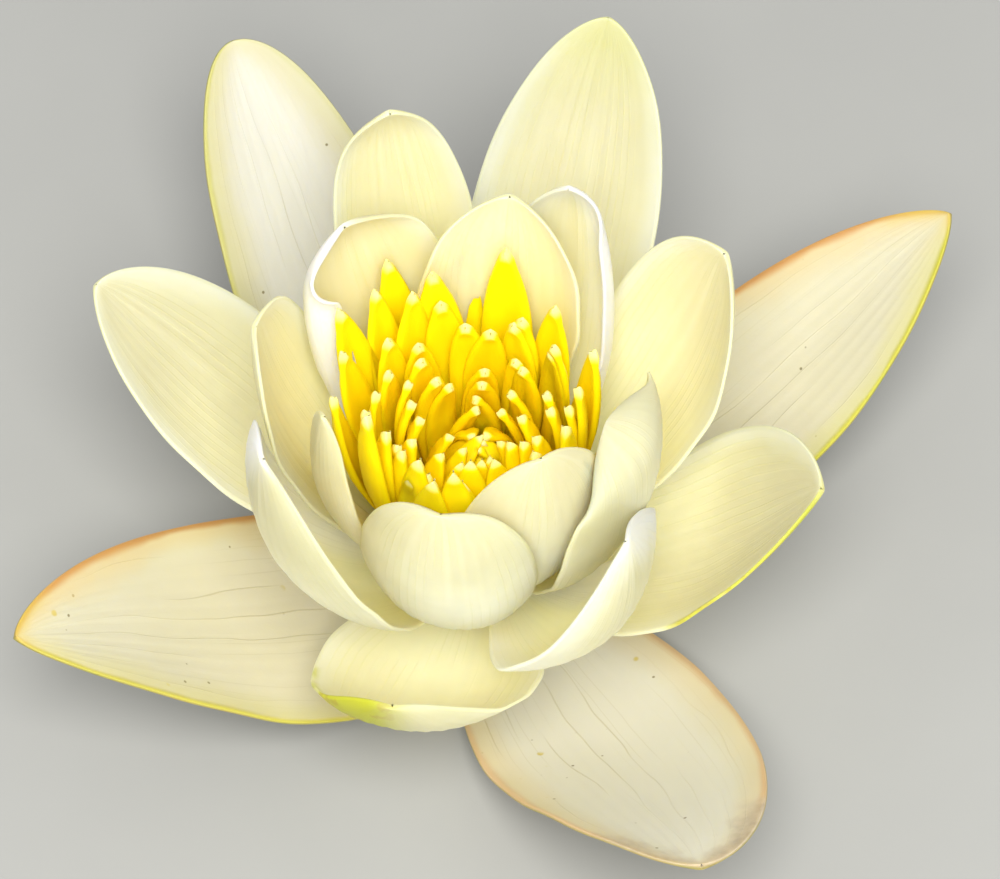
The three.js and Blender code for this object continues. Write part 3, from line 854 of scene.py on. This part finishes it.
def sepal_ground(tree, along, mottle, settings):
    """Cream, duller at the foot, darker towards the tip with painted shade, and with a whiter middle
    on some sepals, partly their own paler colour and partly painted light.
    """
    color = blend_colors(tree, mottle, settings.sepal_color, SEPAL_PALE)
    color = tint(tree, color, between(tree, along, *SEPAL_LOW), SEPAL_FOOT, strength=0.2)
    # Painted shade: the sepal darkens towards its tip, to tone down the tips that the light strikes
    # strongly.
    color = tint(tree, color, between(tree, along, *SEPAL_HIGH), SEPAL_TIP_SHADE, strength=0.6)
    # A whiter middle: partly the sepal's own paler colour, partly painted light that lifts a sepal in
    # shade.
    inland = between(tree, own_value(tree, "to_margin"), *INLAND)
    middle = overlap(tree, own_value(tree, "white"), inland)
    return tint(tree, color, middle, SEPAL_WHITE_AND_LIFT, strength=0.9)


def sepal_specks(tree, place, color):
    """Two kinds of small specks, which lie in patches."""
    for kind in SPECKS:
        cells = add_node(tree, "ShaderNodeTexVoronoi", {"Vector": place, "Scale": kind["scale"]})
        spot = between(tree, cells.outputs["Distance"], kind["size"], kind["size"] / 2)
        patches = noise(tree, place, SPECK_PATCHES, detail=1.0)
        near = between(tree, patches, kind["clear"], kind["clear"] + SPECK_EDGE)
        color = tint(tree, color, overlap(tree, spot, near), kind["shade"], strength=0.8)
    return color


def sepal_margins(tree, place, along, color, settings):
    """Green and orange-red margins in a paler glow, and an ochre tip."""
    traits = {label: own_value(tree, label) for label in ("olive", "blush")}
    for trait, width, shade, strength in (("olive", 5.0, OLIVE_GLOW, 0.6),
                                          ("blush", 4.5, BLUSH_GLOW, 0.6),
                                          ("olive", 0.9, settings.olive_color, 0.9),
                                          ("blush", 1.2, settings.blush_color, 0.9)):
        rim = overlap(tree, margin_mask(tree, place, width, scale=110.0), traits[trait])
        color = tint(tree, color, rim, shade, strength)
    ochre = overlap(tree, traits["blush"], between(tree, along, *OCHRE_TIP),
                    margin_mask(tree, place, width=2.6, scale=200.0))
    return tint(tree, color, ochre, TIP_OCHRE, strength=0.7)


def sepal_bruise(tree, place, along, mottle, color, settings):
    """A worn grey tip, mostly at its margin."""
    height = calc(tree, "MULTIPLY_ADD", mottle, BRUISE_UNEVEN, along)
    worn = overlap(tree, own_value(tree, "bruise"), between(tree, height, *BRUISED_TIP),
                   margin_mask(tree, place, width=5.0, scale=400.0))
    shade = blend_colors(tree, mottled(tree, place, scale=900.0), settings.bruise_color,
                         BRUISE_PALE)
    return tint(tree, color, worn, shade, strength=0.9)


def sepal_material(settings):
    """Cream sepal with fine brown veins, specks, orange-red or green margins and a dull back."""
    material, tree, shader, place = new_material("Sepal skin")
    along = own_value(tree, "along")
    mottle = mottled(tree, place, scale=110.0)
    color = sepal_ground(tree, along, mottle, settings)
    veins = vein_mask(tree, count=4.5, width=0.045, shift=2.0)
    fine = vein_mask(tree, count=9.0, width=0.07, shift=5.0)
    shown = between(tree, along, *SEPAL_VEINED, *VEINS_SHOWN)
    color = tint(tree, color, overlap(tree, veins, shown), settings.vein_color, strength=0.6)
    color = tint(tree, color, overlap(tree, fine, shown), settings.vein_color, strength=0.3)
    color = sepal_specks(tree, place, color)
    color = sepal_margins(tree, place, along, color, settings)
    color = sepal_bruise(tree, place, along, mottle, color, settings)
    back = blend_colors(tree, mottle, settings.sepal_back_color, SEPAL_BACK_BROWN)
    color = blend_colors(tree, own_value(tree, "outside"), color, back)
    tree.links.new(color, shader.inputs["Base Color"])
    soften(shader, weight=0.6, depth=2.0, roughness=0.5)
    fine_grain(tree, shader, place, veins, strength=0.4)
    return material


def stamen_material(name, settings, gold, pale_from):
    """Golden stamen: deeper at the foot, pale at the very tip, each a little different."""
    material, tree, shader, place = new_material(name)
    along = own_value(tree, "along")
    color = blend_colors(tree, own_value(tree, "shade"), gold, settings.gold_color)
    color = blend_colors(tree, between(tree, along, *STAMEN_FOOT), color, settings.foot_color)
    pale = between(tree, along, pale_from, STAMEN_PALE_END)
    color = tint(tree, color, pale, settings.tip_color, strength=0.85)
    tree.links.new(color, shader.inputs["Base Color"])
    soften(shader, weight=0.5, depth=1.2, roughness=0.5, specular=0.3)
    roughen(tree, shader, mottled(tree, place, scale=900.0), strength=0.3, depth=0.05)
    return material


def disc_material(settings):
    """Waxy stigma disc, in two mottled golds."""
    material, tree, shader, place = new_material("Stigma disc")
    mottle = mottled(tree, place, scale=700.0)
    color = blend_colors(tree, mottle, settings.disc_color, DISC_DEEP)
    tree.links.new(color, shader.inputs["Base Color"])
    soften(shader, weight=0.3, depth=1.0, roughness=0.35)
    roughen(tree, shader, mottle, strength=0.4, depth=0.05)
    return material


def stalk_material(settings):
    """Green skin of the receptacle and the paler pith of its cut."""
    material, tree, shader, place = new_material("Stalk skin")
    mottle = mottled(tree, place, scale=300.0)
    skin = blend_colors(tree, mottle, settings.stalk_color, STALK_OCHRE)
    height = add_node(tree, "ShaderNodeSeparateXYZ", {"Vector": place}).outputs["Z"]
    skin_ends, pith_starts = (edge * MM for edge in CUT_FACE)
    cut = between(tree, height, skin_ends, pith_starts)
    color = blend_colors(tree, cut, skin, settings.pith_color)
    tree.links.new(color, shader.inputs["Base Color"])
    soften(shader, weight=0.2, depth=1.0, roughness=0.55)
    roughen(tree, shader, mottle, strength=0.4, depth=0.1)
    return material


# ---- pieces --------------------------------------------------------------------------------

def grown_blade(name, settings, seed):
    """The fine mesh of one sepal or petal."""
    blade = {**WHORLS[BLADES[name]["whorl"]], **BLADES[name]}
    rim = settings.margin / MM / 2

    def offset(t, v):
        return strayed(blade, t, v, seed, settings.ripple / MM, settings.rib_height / MM)

    def half_thickness(t, v):
        middle = blade["thick"] / 2 * (1 - TIP_THINNING * t[:, None])
        return rim + (middle - rim) * (1 - np.abs(v[None, :]) ** THINNING_POWER)

    mesh = blade_mesh(name + "_finished", blade, settings.rows, settings.columns, offset,
                      half_thickness)
    settle(mesh)
    return mesh


def add_blades(whorls, material):
    """Every blade of these whorls, each standing for its solid."""
    settings = bpy.context.scene.lily_petals
    for seed, (name, blade) in enumerate(BLADES.items()):
        if blade["whorl"] in whorls:
            piece = add_object(name + "_finished", grown_blade(name, settings, seed), material)
            stand_for(piece, name)


def stamen_mesh(name, ring, settings):
    """One stamen at the axis, pointing along +X, with two anther ridges on either face."""
    blade = {**STAMEN_SHAPE, **ring, "at": 0, "foot": (0, 0)}
    half = blade["thick"] / 2

    def half_thickness(t, v):
        ridges = bell(np.abs(v), ANTHERS["at"], ANTHERS["width"])[None, :]
        fertile = (smoothstep((t - ANTHERS["start"]) / ANTHERS["comes_in"])
                   * smoothstep((ANTHERS["end"] - t) / ANTHERS["fades_out"]))[:, None]
        knob = TIP_KNOB["adds"] * bell(t, TIP_KNOB["at"], TIP_KNOB["width"])[:, None]
        body = STAMEN_MARGIN + STAMEN_MIDRIB * (1 - v[None, :] ** 2)
        return half * (body + ANTHERS["adds"] * ridges * fertile + knob)

    def offset(t, v):
        return 0 * t[:, None] * v[None, :]

    return blade_mesh(name, blade, settings.rows, settings.columns, offset, half_thickness)


def ring_nodes():
    """Geometry nodes that stand copies of a blade round a ring, each a little different."""
    tree = bpy.data.node_groups.get(RING_NODES)
    if tree:
        return tree
    tree = bpy.data.node_groups.new(RING_NODES, "GeometryNodeTree")
    for label, kind in RING_INPUTS.items():
        tree.interface.new_socket(label, in_out="INPUT", socket_type="NodeSocket" + kind)
    tree.interface.new_socket("Geometry", in_out="OUTPUT", socket_type="NodeSocketGeometry")
    start, end = tree.nodes.new("NodeGroupInput"), tree.nodes.new("NodeGroupOutput")
    out = start.outputs

    def drawn(low, high, salt):
        """A number for each copy. Every use has a salt of its own, so its draws are its own."""
        seed = calc(tree, "ADD", out["Seed"], float(salt))
        inputs = {RANDOM_LOW: low, RANDOM_HIGH: high, "Seed": seed}
        made = add_node(tree, "FunctionNodeRandomValue", inputs, data_type="FLOAT")
        return made.outputs[RANDOM_RESULT]

    def either_way(spread, salt):
        return drawn(calc(tree, "MULTIPLY", spread, -1.0), spread, salt)

    index = tree.nodes.new("GeometryNodeInputIndex").outputs[0]
    share = calc(tree, "DIVIDE", index, out["Count"])
    angle = calc(tree, "MULTIPLY_ADD", share, out["Fills"], out["First"])
    angle = calc(tree, "ADD", angle, either_way(out["Turn"], salt=1))
    place = add_node(tree, "ShaderNodeCombineXYZ", {
        0: calc(tree, "MULTIPLY", out["Radius"], calc(tree, "COSINE", angle)),
        1: calc(tree, "MULTIPLY", out["Radius"], calc(tree, "SINE", angle)),
        2: out["Height"]})
    points = add_node(tree, "GeometryNodePoints", {
        "Count": out["Count"], "Position": place.outputs[0]})
    rotation = add_node(tree, "ShaderNodeCombineXYZ", {
        0: either_way(out["Lean"], salt=3),
        1: either_way(out["Lean"], salt=4),
        2: calc(tree, "ADD", angle, either_way(out["Turn"], salt=2))})
    size = calc(tree, "ADD", either_way(out["Size Spread"], salt=5), 1.0)
    stood = add_node(tree, "GeometryNodeInstanceOnPoints", {
        "Points": points.outputs[0], "Instance": out["Geometry"],
        "Rotation": rotation.outputs[0], "Scale": size})
    shade = add_node(tree, "GeometryNodeStoreNamedAttribute", {
        "Geometry": stood.outputs[0], "Name": "shade", "Value": drawn(0.0, 1.0, salt=6)},
        data_type="FLOAT", domain="INSTANCE")
    real = add_node(tree, "GeometryNodeRealizeInstances", {"Geometry": shade.outputs[0]})
    painted = add_node(tree, "GeometryNodeSetMaterial", {
        "Geometry": real.outputs[0], "Material": out["Material"]})
    tree.links.new(painted.outputs[0], end.inputs["Geometry"])
    return tree


def add_ring(name, mesh, values, material):
    """A plain mesh of a ring of copies, made by the ring nodes."""
    maker = add_object(name + "_maker", mesh, material)
    modifier = maker.modifiers.new("Ring", "NODES")
    modifier.node_group = ring_nodes()
    for item in modifier.node_group.interface.items_tree:
        if item.in_out == "INPUT" and item.name in values:
            modifier[item.identifier] = values[item.name]
    bpy.context.view_layer.update()
    view = bpy.context.evaluated_depsgraph_get()
    made = bpy.data.meshes.new_from_object(maker.evaluated_get(view))
    maker.modifiers.clear()
    bpy.data.objects.remove(maker)
    return made


def joined(name, meshes):
    """Several meshes as one, with their values."""
    pieces = [bpy.data.objects.new(name, mesh) for mesh in meshes]
    for piece in pieces:
        bpy.context.scene.collection.objects.link(piece)
    with bpy.context.temp_override(active_object=pieces[0], selected_editable_objects=pieces):
        bpy.ops.object.join()
    return pieces[0]


def add_stamens(name, material):
    """All rings of one set of stamens as one piece."""
    settings = bpy.context.scene.lily_stamens
    radius, height = STAMENS[name]["foot"]
    meshes = []
    for number, ring in enumerate(STAMENS[name]["rings"]):
        values = {
            "Count": ring["count"], "Radius": radius, "Height": height,
            "First": math.radians(ring["first"]), "Fills": math.radians(ring.get("fills", FULL_TURN)),
            "Lean": settings.lean_spread, "Turn": settings.turn_spread,
            "Size Spread": settings.size_spread, "Seed": settings.seed + SEED_STEP * number,
            "Material": material,
        }
        stamen = stamen_mesh(f"{name}_{number}", ring, settings)
        meshes.append(add_ring(f"{name}_{number}", stamen, values, material))
    piece = joined(name + "_finished", meshes)
    settle(piece.data)
    stand_for(piece, name)


# ---- operators -----------------------------------------------------------------------------

class LILY_OT_sepals(bpy.types.Operator):
    """Build the four sepals"""

    bl_idname = "lily.sepals"
    bl_label = "Sepals"

    def execute(self, context):
        add_blades(("sepal",), sepal_material(context.scene.lily_petals))
        return {"FINISHED"}


class LILY_OT_outer_petals(bpy.types.Operator):
    """Build the four spreading outer petals"""

    bl_idname = "lily.outer_petals"
    bl_label = "Outer petals"

    def execute(self, context):
        settings = context.scene.lily_petals
        material = petal_material("Outer petal", settings.outer_color, settings.outer_foot_lift_color,
                                  settings, shift=1.0)
        add_blades(("outer",), material)
        return {"FINISHED"}


class LILY_OT_middle_petals(bpy.types.Operator):
    """Build the petals of the second and third whorl"""

    bl_idname = "lily.middle_petals"
    bl_label = "Middle petals"

    def execute(self, context):
        settings = context.scene.lily_petals
        material = petal_material("Middle petal", settings.middle_color,
                                  settings.middle_foot_lift_color, settings, shift=3.0)
        add_blades(("second", "third"), material)
        return {"FINISHED"}


class LILY_OT_inner_petals(bpy.types.Operator):
    """Build the three innermost petals"""

    bl_idname = "lily.inner_petals"
    bl_label = "Inner petals"

    def execute(self, context):
        settings = context.scene.lily_petals
        material = petal_material("Inner petal", settings.inner_color, settings.inner_low_color,
                                  settings, shift=5.0)
        add_blades(("inner",), material)
        return {"FINISHED"}


class LILY_OT_stamens(bpy.types.Operator):
    """Build the rings of outer and inner stamens"""

    bl_idname = "lily.stamens"
    bl_label = "Stamens"

    def execute(self, context):
        settings = context.scene.lily_stamens
        outer = stamen_material("Outer stamen", settings, settings.gold_color,
                                pale_from=0.945)
        inner = stamen_material("Inner stamen", settings, settings.deep_gold_color,
                                pale_from=0.96)
        add_stamens("stamens_outer", outer)
        add_stamens("stamens_inner", inner)
        return {"FINISHED"}


class LILY_OT_heart(bpy.types.Operator):
    """Finish the stigma disc and the receptacle"""

    bl_idname = "lily.heart"
    bl_label = "Disc and receptacle"

    def execute(self, context):
        scene = context.scene
        finishes = {"stigma_disc": disc_material(scene.lily_stamens),
                    "receptacle": stalk_material(scene.lily_stage)}
        for node, material in finishes.items():
            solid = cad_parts[node]
            solid.data.materials.clear()
            solid.data.materials.append(material)
        return {"FINISHED"}


class LILY_OT_stage(bpy.types.Operator):
    """Lay the pale floor and set the soft lights and the camera"""

    bl_idname = "lily.stage"
    bl_label = "Stage"

    def execute(self, context):
        settings = context.scene.lily_stage
        add_floor(settings)
        add_lights(settings)
        add_camera()
        return {"FINISHED"}


def add_floor(settings):
    side = settings.floor_width / 2
    mesh = bpy.data.meshes.new("pale_floor")
    mesh.from_pydata([(-side, -side, 0), (side, -side, 0), (side, side, 0), (-side, side, 0)], [],
                     [(0, 1, 2, 3)])
    material, tree, shader, place = new_material("Pale floor")
    darker = tuple(FLOOR_DARKER * c for c in settings.floor_color)
    color = blend_colors(tree, mottled(tree, place, scale=30.0), settings.floor_color, darker)
    tree.links.new(color, shader.inputs["Base Color"])
    shader.inputs["Roughness"].default_value = FLOOR_ROUGHNESS
    add_object("pale_floor", mesh, material)


def add_soft_light(name, facts, power):
    """A round light at its place, pointed at the bloom."""
    light = bpy.data.lights.new(name, "AREA")
    light.shape = "DISK"
    light.size = facts["width"] * MM
    light.energy = power
    light.color = facts["color"]
    lamp = bpy.data.objects.new(name, light)
    lamp.location = [axis * MM for axis in facts["place"]]
    target = Vector((0, 0, LIT_HEIGHT * MM))
    lamp.rotation_euler = (lamp.location - target).to_track_quat("Z", "Y").to_euler()
    bpy.context.scene.collection.objects.link(lamp)


def add_lights(settings):
    add_soft_light("key_light", KEY_LIGHT, settings.key_power)
    add_soft_light("fill_light", FILL_LIGHT, settings.fill_power)
    world = bpy.data.worlds.new("Soft sky")
    world.use_nodes = True
    background = world.node_tree.nodes["Background"]
    background.inputs["Color"].default_value = (*SKY_COLOR, 1)
    background.inputs["Strength"].default_value = settings.sky
    bpy.context.scene.world = world
    bpy.context.scene.view_settings.view_transform = "Standard"


def add_camera():
    """The camera looks down along +Y on the bloom."""
    data = bpy.data.cameras.new("camera")
    data.sensor_width = SENSOR_WIDTH
    data.lens = SENSOR_WIDTH * PIXELS_PER_MM * CAMERA_DISTANCE / PICTURE_WIDTH
    data.clip_start = CAMERA_CLIP * MM
    camera = bpy.data.objects.new("camera", data)
    elevation = math.radians(CAMERA_ELEVATION)
    target = AXIS_FOOT + Vector(CAMERA_TARGET) * MM
    back = Vector((0, -math.cos(elevation), math.sin(elevation)))
    camera.location = target + back * CAMERA_DISTANCE * MM
    camera.rotation_euler = Euler((math.pi / 2 - elevation, 0, 0))
    bpy.context.scene.collection.objects.link(camera)
    bpy.context.scene.camera = camera


class LILY_PT_panel(bpy.types.Panel):
    """Steps that build the bloom"""

    bl_idname = "LILY_PT_panel"
    bl_label = "Water lily"
    bl_space_type = "VIEW_3D"
    bl_region_type = "UI"
    bl_category = "Water lily"

    def draw(self, context):
        for operator in OPERATORS:
            self.layout.operator(operator.bl_idname)
        for settings in SETTINGS:
            box = self.layout.box()
            for label in getattr(settings, "__annotations__", {}):
                box.prop(getattr(context.scene, SETTINGS[settings]), label)


SETTINGS = {
    LilyPetalSettings: "lily_petals",
    LilyStamenSettings: "lily_stamens",
    LilyStageSettings: "lily_stage",
}
OPERATORS = (LILY_OT_stage, LILY_OT_sepals, LILY_OT_outer_petals, LILY_OT_middle_petals,
             LILY_OT_inner_petals, LILY_OT_stamens, LILY_OT_heart)


def register():
    for settings, label in SETTINGS.items():
        bpy.utils.register_class(settings)
        setattr(bpy.types.Scene, label, bpy.props.PointerProperty(type=settings))
    for operator in OPERATORS:
        bpy.utils.register_class(operator)
    bpy.utils.register_class(LILY_PT_panel)


def unregister():
    bpy.utils.unregister_class(LILY_PT_panel)
    for operator in reversed(OPERATORS):
        bpy.utils.unregister_class(operator)
    for settings, label in SETTINGS.items():
        delattr(bpy.types.Scene, label)
        bpy.utils.unregister_class(settings)


def main():
    register()
    bpy.ops.lily.stage()
    bpy.ops.lily.sepals()
    bpy.ops.lily.outer_petals()
    bpy.ops.lily.middle_petals()
    bpy.ops.lily.inner_petals()
    bpy.ops.lily.stamens()
    bpy.ops.lily.heart()


if __name__ == "__main__":
    main()
